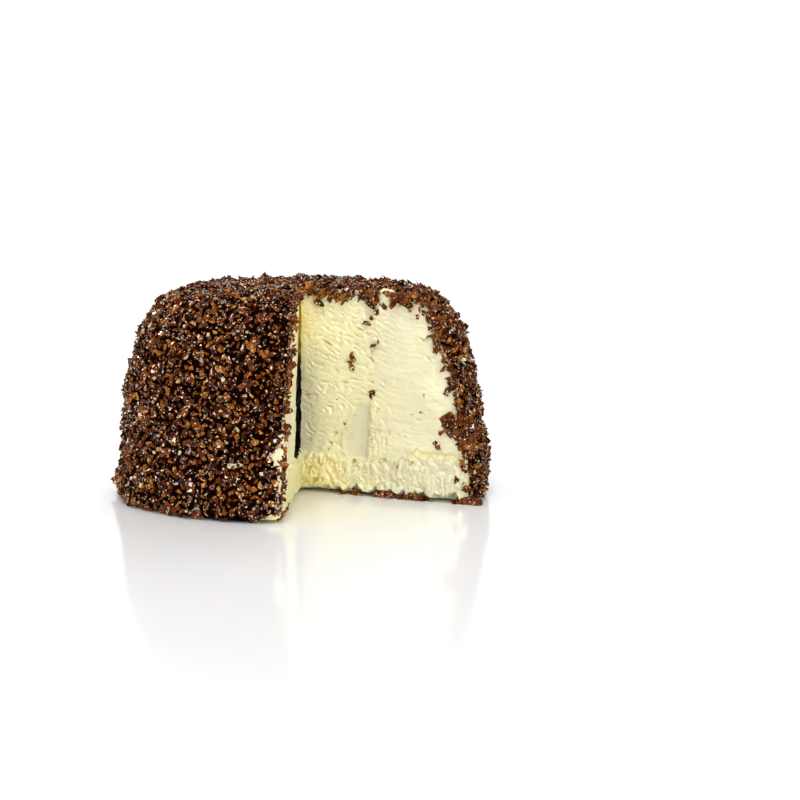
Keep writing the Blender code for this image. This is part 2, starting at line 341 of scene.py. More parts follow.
# How much of a thicker coat goes into the shoulder, down and inwards, and into the top
SHOULDER_DOWN, SHOULDER_IN, TOP_DOWN = 0.6, 0.8, 0.4
CUT_POINT = Vector((-0.7, 1.2, 0.0))
RIGHT_CUT_ANGLE = math.radians(-25.0)
LEFT_CUT_ANGLE, LEFT_CUT_TWIST = math.radians(267.1), math.radians(5.2)


# %% Small functions for uneven things
def ease(value, low, high):
    """0 at low, 1 at high, smooth between and level beyond."""
    share = min(1.0, max(0.0, (value - low) / (high - low)))
    return share * share * (3 - 2 * share)


def toward(angle):
    return Vector((math.cos(angle), math.sin(angle), 0))


def slanted(x, y, slope):
    """The same place, measured along a slope given in degrees and square to it."""
    turn = math.radians(slope)
    return x * math.cos(turn) + y * math.sin(turn), y * math.cos(turn) - x * math.sin(turn)


def rough(x, y, seed):
    return noise.noise(Vector((x, y, seed)))


def between(value, pairs):
    """Looks a value up in a list of (where, value) pairs."""
    return float(np.interp(value, *zip(*pairs)))


# %% The curve of the turned form
def section(inset, lowest, spacing):
    """Evenly spaced (radius, height) points from the middle of the base, round to the middle of the top."""
    radius, height = BASE_RADIUS - inset, HEIGHT - inset
    shoulder = height * 0.5 ** (1 / TOP_POWER)
    z = np.linspace(lowest, shoulder, 1000)
    side = np.column_stack([radius * (1 - (z / height) ** TOP_POWER) ** (1 / SIDE_POWER), z])
    r = np.linspace(side[-1][0], 0.0, 1000)[1:]
    over = np.column_stack([r, height * (1 - (r / radius) ** SIDE_POWER) ** (1 / TOP_POWER)])
    under = np.column_stack([np.linspace(0.0, side[0][0], 400), np.full(400, lowest)])[:-1]
    curve = np.vstack([under, side, over])
    length = np.concatenate([[0], np.cumsum(np.linalg.norm(np.diff(curve, axis=0), axis=1))])
    even = np.linspace(0, length[-1], round(length[-1] / spacing) + 1)
    return np.column_stack([np.interp(even, length, curve[:, k]) for k in (0, 1)])


# %% The unevenness round it, and the place of a point
def unevenness(angle, height):
    """How far the real form departs from the turned one, out from the middle."""
    right = 0.5 + 0.5 * math.cos(angle)
    middle = FOOT_HEIGHT[0] + (FOOT_HEIGHT[1] - FOOT_HEIGHT[0]) * right
    spread = FOOT_SPREAD[0] + (FOOT_SPREAD[1] - FOOT_SPREAD[0]) * right
    swell = FOOT_SWELL * math.exp(-(((height - middle) / spread) ** 2))
    share = max(0.0, 1 - height / FOOT_ROUND)
    rounding = FOOT_ROUND * (1 - math.sqrt(1 - share * share))
    around = BASE_RADIUS / HAND_SHAPED_LENGTH
    where = Vector((around * math.cos(angle), around * math.sin(angle), height / HAND_SHAPED_LENGTH))
    return swell - rounding + HAND_SHAPED * noise.noise(where)


def reach(angle):
    """How far the base's edge is from the cut point in this direction, in base radii."""
    along = CUT_POINT.x * math.cos(angle) + CUT_POINT.y * math.sin(angle)
    root = math.sqrt(along * along - CUT_POINT.length_squared + BASE_RADIUS**2)
    return (root - along) / BASE_RADIUS


# %% [markdown]
# Three places at the edge of the cuts have lost their grains, so that the cheese shows between them:
# one low on the left edge and two on the top. There the coat sinks and the cheese stands out to it.

# %% The bare spots, as (x, y, z) and how wide, in millimetres
BARE_SPOTS = (((-2.6, -37.6, 13.4), 1.9), ((17.4, -7.6, 42.0), 1.9), ((9.6, -3.8, 43.4), 1.5))


def bare(point):
    """1 in the middle of a bare spot and 0 away from it."""
    most = 0.0
    for place, width in BARE_SPOTS:
        off = (Vector(point) - Vector(place)).length / width
        if off < 2:
            off += 0.5 * noise.noise(Vector(point) / 1.1)
            most = max(most, 1 - ease(off, 0.6, 1.3))
    return most


# %% The place of a point of the turned form
def turned_point(angle, radius, z, thicker=0.0):
    """thicker sinks the surface where the coat over it is thicker: at the shoulder and on the top."""
    off = math.hypot(radius - SHOULDER[0], z - SHOULDER[1]) / SHOULDER_SPREAD
    deeper = thicker * math.exp(-off * off)
    lower = SHOULDER_DOWN * deeper + TOP_DOWN * thicker * ease(z, 37, 42.5) * (1 - ease(radius, 24, 33))
    out = radius * reach(angle) + min(1.0, radius / BASE_RADIUS) * unevenness(angle, z) - SHOULDER_IN * deeper
    return CUT_POINT + toward(angle) * max(0.0, out) + Vector((0, 0, z - lower))


# %% Spin the curve into a drum, and give it its uneven form
TURNS_UP = (30, 42)  # the heights between which bumps turn from outward to upward


def drum(name, inset, lowest, spacing, thicker=0.0, roughness=0.0, stand_in_bare=0.0, settled=0.0):
    """A turned solid: a ring of points is laid along the curve, opened at the axis and spun round it.

    stand_in_bare is how far it stands out in the bare spots, and settled how much lower its top is.
    """
    curve = section(inset, lowest, spacing)
    bpy.ops.mesh.primitive_circle_add(vertices=len(curve), radius=1)
    piece = bpy.context.object
    piece.name = name
    for vert, (radius, height) in zip(piece.data.vertices, curve):
        vert.co = (radius, 0, height)
    for edge in piece.data.edges:
        edge.select = set(edge.vertices) == {0, len(curve) - 1}
    for vert in piece.data.vertices:
        vert.select = vert.index in (0, len(curve) - 1)
    set_mode("EDIT")
    bpy.ops.mesh.select_mode(type="EDGE")
    bpy.ops.mesh.delete(type="EDGE_FACE")
    bpy.ops.mesh.select_all(action="SELECT")
    steps = round(2 * math.pi * BASE_RADIUS / spacing)
    bpy.ops.mesh.spin(steps=steps, angle=2 * math.pi, center=(0, 0, 0), axis=(0, 0, 1))
    bpy.ops.mesh.select_all(action="SELECT")
    bpy.ops.mesh.remove_doubles(threshold=0.002)
    bpy.ops.mesh.normals_make_consistent(inside=False)
    set_mode("OBJECT")
    points = points_of(piece)
    for k, (x, y, z) in enumerate(points.copy()):
        angle, radius = math.atan2(y, x), math.hypot(x, y)
        spot = turned_point(angle, radius, z, thicker)
        slope = ease(z, *TURNS_UP)
        bumps = 0.7 * noise.noise(spot / 1.3) + 1.3 * noise.noise(spot / 4.5)
        lift = roughness * bumps - settled * slope + stand_in_bare * bare(spot)
        if radius > 0.01 and z > lowest + 0.01:
            spot += toward(angle) * lift * (1 - slope) + Vector((0, 0, lift * slope))
        points[k] = spot
    set_points(piece, points)
    return piece


# %% [markdown]
# ## The cut faces
#
# A knife drags through fresh cheese rather than slicing it. Where it passed cleanly the face is smooth,
# with faint arcs. Where it dragged there are short tears that slope down to the right, with painted shade
# under each of them, and small holes that are painted a darker yellow inside, as shade. Low on the right
# face there is a smooth hollow, where the blade was pressed flat, with upright cracks beside it. Under all
# that lies a band of loose curd in upright lumps, which stands a little proud.
#
# One function gives the height of the surface at each point, and how much painted shade it gets in its
# tears, holes and creases, which the material reads later. The wedge that is cut away carries this
# relief on its two sides, so one Boolean difference makes both faces at once, as the real cut did.

# %% Holes and slits of the right face, as they lie in the photo
# (along the cut, height, length, width, slope in degrees, depth), in millimetres
RIGHT_PITS = (
    (13.7, 34.2, 1.9, 0.45, -16, 0.75), (6.4, 31.0, 2.2, 0.5, -18, 0.8), (27.9, 32.6, 1.9, 0.4, -38, 0.6),
    (29.3, 28.9, 1.5, 0.35, -42, 0.45), (16.7, 28.0, 1.5, 0.4, -42, 0.6), (25.3, 17.3, 0.6, 0.45, 0, 0.6),
    (27.1, 16.2, 1.0, 0.35, -30, 0.45), (8.1, 12.5, 1.2, 0.45, 8, 0.8), (7.0, 10.4, 1.1, 0.5, -20, 0.9),
    (1.6, 20.0, 1.6, 0.4, 10, 0.6), (10.5, 23.0, 1.0, 0.35, 0, 0.6), (16.7, 23.5, 1.0, 0.35, 5, 0.5),
    (12.1, 23.9, 0.9, 0.35, 0, 0.5), (8.4, 25.4, 0.8, 0.35, -10, 0.5), (3.0, 16.2, 1.4, 0.4, -15, 0.5),
    (9.8, 36.9, 0.9, 0.3, -25, 0.4), (4.0, 36.8, 0.8, 0.3, -50, 0.4), (24.0, 12.6, 0.7, 0.3, 0, 0.4),
    (16.4, 12.4, 3.0, 0.26, 84, 0.7), (16.7, 9.6, 1.6, 0.26, 96, 0.8), (19.7, 11.4, 2.2, 0.26, 88, 0.65),
    (16.0, 15.4, 2.4, 0.22, 95, 0.55), (18.2, 13.6, 2.2, 0.2, 100, 0.5), (17.2, 17.4, 1.8, 0.2, 80, 0.5),
    (20.7, 13.2, 1.8, 0.2, 95, 0.4), (18.0, 10.4, 1.5, 0.22, 90, 0.6),
    (2.5, 4.4, 2.0, 0.8, 84, 1.0), (3.7, 2.6, 1.8, 0.8, 20, 1.0), (4.9, 6.6, 1.0, 0.5, 60, 0.8),
    (12.4, 6.9, 1.2, 0.8, 50, 0.9), (25.8, 7.6, 1.4, 0.5, 40, 0.8), (19.6, 7.6, 1.4, 0.5, -20, 0.6),
    (5.6, 2.9, 0.9, 0.4, 70, 0.6), (22.6, 6.4, 1.0, 0.5, 75, 0.7), (28.6, 2.6, 1.1, 0.4, 40, 0.5),
)
CURD_TOP = ((0, 8.3), (6, 8.2), (9, 7.6), (13, 6.8), (18, 7.4), (23, 8.6), (26, 9.4), (38, 9.3))


def pits(along, height):
    """Depth of the holes at a point of the right face."""
    depth = 0.0
    for s, z, length, width, slope, deep in RIGHT_PITS:
        ds, dz = along - s, height - z
        if abs(ds) > 2.5 or abs(dz) > 2.5:
            continue
        u, v = slanted(ds, dz, slope)
        edge = (u / (0.5 * length)) ** 2 + (v / (0.5 * width)) ** 2 + 0.5 * rough(along * 2.2, height * 2.2, 9)
        depth = max(depth, deep * (1 - ease(edge, 0.3, 1.5)))
    return depth


# %% Tears: short scallops, each with a gentle slope and a sharp lower edge
def tears(along, height, slope, row, seed):
    """Depth of the tears, 0 to 1."""
    u, v = slanted(along, height, slope)
    phase = v / row + 1.2 * rough(u / (3.0 * row), v / (2.0 * row), seed)
    step = math.floor(phase)
    strength = ease(rough(u / (1.1 * row), step * 7.31, seed + 5), -0.2, 0.3)
    return strength * (1 - (phase - step)) ** 2.5


# %% The hollow that the flat of the blade left
HOLLOW_LEFT = ((7.6, 10.6), (9, 10.3), (11.3, 10.1), (13.4, 10.6), (15.5, 11.5), (17.2, 12.5), (20.3, 15.0))
HOLLOW_RIGHT = ((7.6, 15.4), (11.5, 15.9), (15.6, 16.0), (19.0, 16.1), (20.3, 15.6))


def hollow(along, height):
    """(how far inside the hollow, its height)."""
    left = between(height, HOLLOW_LEFT) + 0.25 * rough(height / 1.5, 0, 2)
    right = between(height, HOLLOW_RIGHT) + 0.2 * rough(height / 1.0, 5, 2)
    share = (along - left) / max(0.3, right - left)
    inside = ease(share, -0.12, 0.12) * (1 - ease(share, 0.85, 1.1))
    inside *= ease(height, 7.1, 8.1) * (1 - ease(height, 17.5, 20.3))
    lip = 0.22 * math.exp(-(((share + 0.02) / 0.12) ** 2)) * ease(height, 7, 9) * (1 - ease(height, 16, 19))
    return inside, lip - 0.6 * inside * ease(share, 0.0, 0.75)


# %% The band of curd: upright lumps of two sizes, with creases between them
def curd(along, height, top, coarse):
    """(how far inside the band, its height over the face, the painted shade in its creases)."""
    inside = ease(top - height, -0.05, 0.35)
    if inside == 0:
        return 0.0, 0.0, 0.0
    bent = along + 0.8 * rough(along / 2.4, height / 2.4, 4)
    up = height + 0.9 * rough(along / 2.0, height / 2.4, 5)
    lump = min(1.0, 2.6 * abs(rough(bent / 1.5, up / 2.5, 14)))
    small = min(1.0, 2.6 * abs(rough(bent / 0.6, up / 0.8, 15)))
    lumps = (0.22 + 0.4 * coarse) * lump**0.7 + (0.12 + 0.22 * coarse) * small**0.7
    lumps += 0.35 * rough(along / 2.2, height / 2.6, 6) + 0.13 * rough(along / 0.32, height / 0.36, 6)
    brim = 0.2 * math.exp(-(((top - height - 0.35) / 0.45) ** 2))
    foot = max(0.7, 1.25 + 1.7 * rough(along / 2.4, 4.0, 13) + 0.9 * rough(along / 0.9, 9.0, 13))
    stand = 0.25 + brim + lumps - 2.6 * (1 - ease(height, foot - 0.4, foot + 0.4))
    # The third value is painted shade, darkest in the creases between the lumps.
    return inside, stand, coarse * (0.75 * (1 - ease(lump, 0.0, 0.22)) + 0.25 * (1 - ease(small, 0.0, 0.25)))


def ragged(top, along):
    """The curd's upper edge at a place along the cut."""
    return top + 0.8 * rough(along / 1.3, 3.0, 1) + 0.5 * rough(along / 0.5, 8.0, 1)


# %% The relief of a clean cut: gentle waves, and faint arcs round a point above it
def waves(along, height, wide, narrow, seed):
    return wide * rough(along / 9, height / 9, seed) + narrow * rough(along / 2.5, height / 2, seed + 1)


def arcs(along, height, middle, length, seed):
    across, down = along - middle[0], middle[1] - height
    return rough(math.hypot(across, down) / length, math.atan2(across, down) * 3, seed)


# %% The whole right face
CURD_COARSE = ((0, 1), (8, 0.85), (16, 0.55), (28, 0.25))


def right_relief(along, height):
    """(height over the cut plane in millimetres, painted shade from 0 to 1)."""
    top = ragged(between(along, CURD_TOP), along)
    in_curd, stand, crevice = curd(along, height, top, between(along, CURD_COARSE))
    torn = (1 - ease(along, 14, 24)) * 0.85 + 0.15
    in_hollow, bowl = hollow(along, height)
    calm = (1 - 0.9 * in_hollow) * (1 - in_curd)
    scallop = tears(along, height, -20, 1.1, 11)
    fine_scallop = tears(along, height, -16, 0.55, 31)
    surface = waves(along, height, 0.3, 0.1, 20)
    surface -= calm * torn * (0.42 * scallop + 0.17 * fine_scallop)
    surface += calm * (1 - torn) * 0.07 * arcs(along, height, (27, 46), 0.55, 22)
    streaky = ease(along, 15.6, 16.6) * (1 - ease(along, 20.0, 22.5)) * (1 - ease(height, 17, 21))
    surface += calm * streaky * 0.16 * rough(along / 0.42, height / 5.0, 23)
    grain = rough(along / 0.28, height / 0.28, 24) + rough(along / 0.7, height / 0.6, 25)
    surface += 0.03 * grain * (1 - 0.7 * in_hollow)
    hole = 0.85 * pits(along, height)
    ledge = math.exp(-(((height - top - 0.35) / 0.28) ** 2)) * ease(along, 22, 26) * (1 - in_curd)
    corner = ease(along, 36.0, 40.0) * (1 - ease(height, 0.5, 5.5))
    surface += (1 - in_curd) * bowl - 0.35 * ledge + in_curd * stand - hole - 2.2 * corner
    # Painted shade: under each tear's ridge, in the holes, under the ledge over the curd, in the hollow and in the
    # curd's creases. The whole curd band is a little darker too.
    shade = calm * torn * (0.5 * scallop**2 + 0.1 * fine_scallop)
    shade += in_curd * crevice + 1.8 * hole + 0.6 * ledge + 0.15 * in_hollow + 0.15 * in_curd
    return surface, min(1.0, max(0.0, shade))


# %% The left face, which was cut more cleanly
def left_relief(along, height):
    in_curd, stand, crevice = curd(along + 60, height, ragged(8.8, along + 60), 0.6)
    scallop = tears(along + 60, height, 14, 1.6, 51)
    surface = waves(along, height, 0.25, 0.06, 40)
    surface -= (1 - in_curd) * 0.14 * scallop
    surface += (1 - in_curd) * 0.05 * arcs(along, height, (20, 50), 0.6, 42)
    surface += in_curd * 0.6 * stand
    # The second value is painted shade, under the tears and in the curd's creases.
    return surface, min(1.0, max(0.0, (1 - in_curd) * 0.5 * scallop**2 + in_curd * crevice))


# %% A point of a cut face
def right_cut(height):
    return RIGHT_CUT_ANGLE


def left_cut(height):
    """The left cut leans a little, because the knife was tilted."""
    return LEFT_CUT_ANGLE + LEFT_CUT_TWIST * height / HEIGHT


SIDES = {"right": (right_cut, 1, right_relief), "left": (left_cut, -1, left_relief)}
CORNER_CALM = 0.8  # how far from the inner corner the relief has its full height


def cut_frame(side, height):
    """The directions along a cut at a height, and out of its face into the wedge."""
    cut, outward, _ = SIDES[side]
    angle = cut(height)
    return toward(angle), Vector((math.sin(angle), -math.cos(angle), 0)) * outward


def surface_of(side, along, height):
    """(how far a cut face stands out at a point, its painted shade)."""
    stand, crevice = SIDES[side][2](along, max(height, 0.0))
    return stand * ease(along, 0.0, CORNER_CALM), crevice


def on_cut(side, along, height, stand=0.0):
    """The point of a cut face at a distance along it and a height, standing out into the wedge."""
    forward, normal = cut_frame(side, height)
    return CUT_POINT + forward * along + normal * stand + Vector((0, 0, height))


# %% [markdown]
# The wedge starts as one grid. Its columns run out along the right cut, across behind the rim and back
# in along the left cut, and its two ends are merged in the middle of the cheese. The top and the bottom
# are then closed with one face each.

# %% The wedge that is cut away
WEDGE_REACH, WEDGE_LOW, WEDGE_HIGH = 50.0, -2.0, 47.0
RELIEF_REACH, RELIEF_HIGH = 43, 45
FOOT_GAP = 1.5


def wedge(name, step, back=0.0, foot_back=0.0, with_relief=True):
    """back moves both of its sides into the cheese, and foot_back their lowest part too."""
    side_columns, across = round(WEDGE_REACH / step), 6
    columns, rows = 2 * side_columns + across, round((WEDGE_HIGH - WEDGE_LOW) / step)
    bpy.ops.mesh.primitive_grid_add(x_subdivisions=columns, y_subdivisions=rows, size=1)
    cutter = bpy.context.object
    cutter.name = name
    points = points_of(cutter)
    for k, (x, y, _) in enumerate(points.copy()):
        column = round((x + 0.5) * columns)
        height = WEDGE_LOW + (y + 0.5) * (WEDGE_HIGH - WEDGE_LOW)
        if side_columns < column < side_columns + across:
            share = (column - side_columns) / across
            start, end = on_cut("right", WEDGE_REACH, height), on_cut("left", WEDGE_REACH, height)
            points[k] = start.lerp(end, share)
            continue
        inward = back + (foot_back if height < FOOT_GAP else 0.0)
        side = "right" if column <= side_columns else "left"
        along = (column if side == "right" else columns - column) * step
        stand = 0.0
        if with_relief and along < RELIEF_REACH and height < RELIEF_HIGH:
            stand = surface_of(side, along, height)[0]
        points[k] = on_cut(side, along, height, stand - inward)
        if along == 0:
            points[k] = on_cut("right", -1.2 * inward, height)
    set_points(cutter, points)
    set_mode("EDIT")
    bpy.ops.mesh.select_all(action="SELECT")
    bpy.ops.mesh.remove_doubles(threshold=0.0001)
    bpy.ops.mesh.select_all(action="DESELECT")
    bpy.ops.mesh.select_mode(type="EDGE")
    bpy.ops.mesh.select_non_manifold()
    bpy.ops.mesh.fill_holes(sides=0)
    bpy.ops.mesh.select_all(action="SELECT")
    bpy.ops.mesh.normals_make_consistent(inside=False)
    set_mode("OBJECT")
    return cutter


# %% [markdown]
# ## The paste
#
# The cheese inside the coat is a drum that stands half a millimetre off the floor, on the crumbs under it.
# The wedge is cut out of it, and then the narrow slit, where the knife went on past the corner.

# %% Cut the paste
PASTE_INSET, COAT_THICKER = 1.2, 1.8
paste = drum("paste", inset=PASTE_INSET, lowest=0.55, spacing=1.1, thicker=COAT_THICKER, stand_in_bare=0.8)
cut_away(paste, wedge("wedge", step=0.22))

# The slit's corners, as (height, from and to across, from and to in depth), and how ragged it is
SLIT_FOOT, SLIT_TOP = (8.0, (-1.9, 0.25), (-12.0, 5.5)), (41.0, (-0.55, 0.35), (-3.5, 3.5))
SLIT_RAGGED = 0.5
bpy.ops.mesh.primitive_cube_add(size=1)
slit = bpy.context.object
set_mode("EDIT")
bpy.ops.mesh.subdivide(number_cuts=40)
set_mode("OBJECT")
for vert in slit.data.vertices:
    across, deep, share = vert.co + Vector((0.5, 0.5, 0.5))
    low, high = [np.array([height, *xs, *ys]) for height, xs, ys in (SLIT_FOOT, SLIT_TOP)]
    height, left, right, near, far = low + (high - low) * share
    spot = Vector((left + (right - left) * across, near + (far - near) * deep, height))
    spot += Vector((SLIT_RAGGED, 3 * SLIT_RAGGED, 0)) * noise.noise(spot / 1.2) * (1.2 - share)
    vert.co = CUT_POINT + spot
cut_away(paste, slit)


# %% Keep, for each point, its painted shade, how yellow it is and how much light is painted on it, and how much it is dimmed
def face_values(point):
    """(painted shade, yellowness with painted light, dimming) of a point of the paste. In the slit, the painted shade
    goes from 1 to 2.
    """
    for side in SIDES:
        forward, normal = cut_frame(side, point.z)
        offset = point - CUT_POINT
        along, stand = offset.dot(forward), offset.dot(normal)
        if 0.02 < along < RELIEF_REACH and abs(stand) < 2.2:
            surface, crevice = surface_of(side, along, point.z)
            if abs(stand - surface) < 0.25:
                low = 1 - ease(point.z, 7.0, 9.5)
                edge = ease(point.z, 30, 41)
                # Painted light: inner makes the cream brighter towards the inner corner and on the left face, where
                # they lie in shade. low and edge make the curd and the top yellower.
                inner = 1 - ease(along, 6, 22) if side == "right" else 1.1
                yellow = 0.45 * inner + 0.15 * edge + 0.35 * low * inner
                yellow += 0.25 * rough(along / 5, point.z / 5, 70)
                # Painted shade: the hollow, which faces the light, is dimmed, and the curd low on the right face is
                # darker too.
                damp = 0.0
                if side == "right":
                    damp = max(0.6 * low * ease(along, 5, 12), hollow(along, point.z)[0])
                return crevice, min(1.0, max(0.0, yellow)), damp
    # In the slit, painted light and shade: a yellow glow near its top, going dark brown lower down. Points off the cut
    # faces are dimmed.
    in_slit = abs(point.x - CUT_POINT.x) < 2.6 and -14 < point.y < 8 and 7 < point.z < 41
    return (1.1 + 0.9 * ease(point.z, 33, 24), 1.0, 0.0) if in_slit else (0.0, 0.9, 1.0)


values = [face_values(vert.co) for vert in paste.data.vertices]
for column, name in enumerate(("crevice", "yellow", "damp")):
    keep(paste, name, [value[column] for value in values])
select_only(paste)
bpy.ops.object.shade_smooth_by_angle(angle=math.radians(50))


# %% The look of fresh paste
def paste_look(tree):
    crevice, yellow = tree.attribute("crevice"), tree.attribute("yellow")
    # From a plain cream, through a brighter one where light is painted in, to a yellow one.
    body = tree.ramp(
        yellow + (tree.fog(180.0) - 0.5) * 0.4,
        (0.0, srgb(228, 222, 188)), (0.5, srgb(249, 243, 200)), (1.0, srgb(249, 238, 172)),
    )
    # Painted shade: the tears, holes and creases are blended towards a darker yellow.
    shaded = tree.blend((crevice * 0.8).math("MINIMUM", 0.8), body, srgb(228, 208, 104))
    # Painted light and shade in the slit: a bright yellow glow at the top, dark brown deeper down.
    slit_glow_and_shade = tree.ramp(crevice - 1, (0.1, srgb(255, 232, 48)), (1.0, srgb(48, 24, 8)))
    colour = tree.blend(tree.span(crevice, 1.0, 1.1), shaded, slit_glow_and_shade)
    # The dimming is painted shade in the hollow, and it also darkens the low curd: the cream is made darker and
    # greyer.
    return {
        "Base Color": tree.blend(tree.attribute("damp"), colour, (0.8, 0.83, 0.92, 1), "MULTIPLY"),
        "Roughness": 0.42, "Specular IOR Level": 0.4,
        "Subsurface Weight": 0.35, "Subsurface Radius": (1.0, 0.75, 0.4), "Subsurface Scale": 0.0012,
        "Normal": tree.bump(tree.fog(2600.0, 2.0), 0.25, 0.0002),
    }


finish_piece(paste, new_material("fresh paste", paste_look), "cheese")

# %% [markdown]
# ## The bed of the coat
#
# Under the crumbs lies a near-black bed, which shows in the gaps between them: painted shade in those
# gaps, over the finest dark bits of seed. It is a drum, less a smaller one, less the wedge. Its cut edges
# stay a little behind the cut faces, so that crumbs can be set into them, and more at the foot, because
# the loose curd overhangs the table there and leaves a dark gap.

# %% Shell of the bed
BED_SET_BACK, BED_FOOT_BACK = 0.6, 5.0
bed = drum("coat_bed", inset=0.75, lowest=0.3, spacing=0.95, roughness=0.6, stand_in_bare=-1.4, settled=0.45)
cut_away(bed, wedge("wedge", step=1.0, back=BED_SET_BACK, foot_back=BED_FOOT_BACK, with_relief=False))


# %% Faces of the bed on which crumbs are laid, each kind as a sheet of its own
BED_UNDER, BED_STEP = 0.8, 2.5  # heights of its underside and of its set-back foot
PATTED_FLAT = (37.5, 42)


def off_the_cuts(point):
    """0 under the paste's lower edge, which gets a few clumps of its own later, and 1 elsewhere."""
    if point.z > BED_UNDER:
        return 1.0
    for side in SIDES:
        forward, out = cut_frame(side, point.z)
        offset = point - CUT_POINT
        if offset.dot(forward) > -1 and offset.dot(out) > -4.5:
            return ease(offset.dot(forward), 33, 36)
    return 1.0


def sheet_of(piece, name, wanted):
    """A copy of the faces for which wanted(middle, normal) is true."""
    sheet = add_object(name, piece.data.copy())
    for face in sheet.data.polygons:
        face.select = not wanted(face.center, face.normal)
    for part in (*sheet.data.edges, *sheet.data.vertices):
        part.select = False
    select_only(sheet)
    set_mode("EDIT")
    bpy.ops.mesh.select_mode(type="FACE")
    bpy.ops.mesh.delete(type="FACE")
    set_mode("OBJECT")
    keep(sheet, "flat", [ease(vert.co.z, *PATTED_FLAT) for vert in sheet.data.vertices])
    keep(sheet, "cover", [(1.0 - bare(vert.co)) * off_the_cuts(vert.co) for vert in sheet.data.vertices])
    return sheet


def in_cut(middle, normal):
    """Whether a face of the bed lies in one of its two cut edges."""
    offset = middle - CUT_POINT
    for side in SIDES:
        forward, out = cut_frame(side, middle.z)
        stand = offset.dot(out)
        behind = -BED_FOOT_BACK - 1 < stand < 0 if middle.z < BED_STEP else abs(stand + BED_SET_BACK) < 0.25
        over_foot = BED_UNDER < middle.z < BED_STEP and normal.z < -0.6
        if offset.dot(forward) > -1 and behind and (normal.dot(out) > 0.7 or over_foot):
            return True
    return normal.z < 0.6 and offset.xy.length < 8


def underneath(middle, normal):
    return normal.z < -0.7 and middle.z < BED_UNDER


side_sheet = sheet_of(bed, "side_sheet", lambda c, n: not in_cut(c, n) and not underneath(c, n))
base_sheet = sheet_of(bed, "base_sheet", underneath)
cut_away(bed, drum("core", inset=1.5, lowest=1.2, spacing=1.1, thicker=COAT_THICKER, stand_in_bare=0.8))
band_sheet = sheet_of(bed, "band_sheet", in_cut)


# %% The look of the bed: near black, as painted shade in the gaps between the crumbs
def gap_shade_look(tree):
    # Near black, darker than any crumb: painted shade in the gaps, over the finest dark bits of seed.
    body = tree.ramp(tree.fog(900.0, 4.0, 0.6), (0.35, (0.001, 0.0004, 0.0002)), (0.7, (0.012, 0.003, 0.001)))
    bump = tree.bump(tree.fog(1500.0), 0.8, 0.0004)
    return {"Base Color": body, "Roughness": 0.7, "Specular IOR Level": 0.0, "Normal": bump}


finish_piece(bed, new_material("near-black gap shade", gap_shade_look), "mustard_coat")

# %% [markdown]
# ## The crumbs of seed
#
# A crushed mustard seed gives three things: curved chips of the dark red-brown hull, thin amber skins
# and pale bits of the kernel. A few chips of each are made from a coarse ball that is flattened and
# knocked about, and Geometry Nodes then lays thousands of copies on the bed, each turned and sized by
# chance. Every kind is laid on the same spots and takes its own share of them, so no two crumbs share a
# place. On the top they lie flatter, because the coat was patted down there.


# %% Chips
def chip(collection, size, seed, bend=0.0):
    """One crumb, about a millimetre wide before it is scaled."""
    draw = random.Random(seed)
    bpy.ops.mesh.primitive_ico_sphere_add(subdivisions=1, radius=0.5)
    made = bpy.context.object
    set_mode("EDIT")
    bpy.ops.transform.resize(value=size)
    set_mode("OBJECT")
    for vert in made.data.vertices:
        vert.co += Vector([draw.uniform(-0.21, 0.21) * size[axis] for axis in range(3)])
        vert.co.z += bend * (vert.co.x**2 + 0.4 * vert.co.y**2)
    for other in list(made.users_collection):
        other.objects.unlink(made)
    collection.objects.link(made)


def chips(name, sizes, bends, seed):
    collection = bpy.data.collections.new(name)
    bpy.context.scene.collection.children.link(collection)
    for number, (size, bend) in enumerate(zip(sizes, bends)):
        chip(collection, size, seed + number, bend)
    return collection


HULL_SIZES = (
    (1.3, 0.95, 0.4), (1.2, 0.85, 0.45), (1.4, 0.8, 0.32), (1.05, 1.0, 0.5), (1.3, 0.95, 0.28), (0.95, 0.85, 0.6),
)
HULL_CHIPS = chips("hull_chips", HULL_SIZES, (-0.9, 0.9, -1.1, -0.5, 1.3, 0.2), 100)
SKIN_CHIPS = chips("skin_chips", ((1.2, 0.8, 0.22), (1.0, 0.7, 0.25), (1.1, 0.6, 0.3)), (-1.1, 0.9, -0.6), 200)
KERNEL_CHIPS = chips("kernel_chips", ((1.0, 0.85, 0.75), (0.9, 0.7, 0.6), (1.1, 0.8, 0.6)), (0, 0, 0), 300)


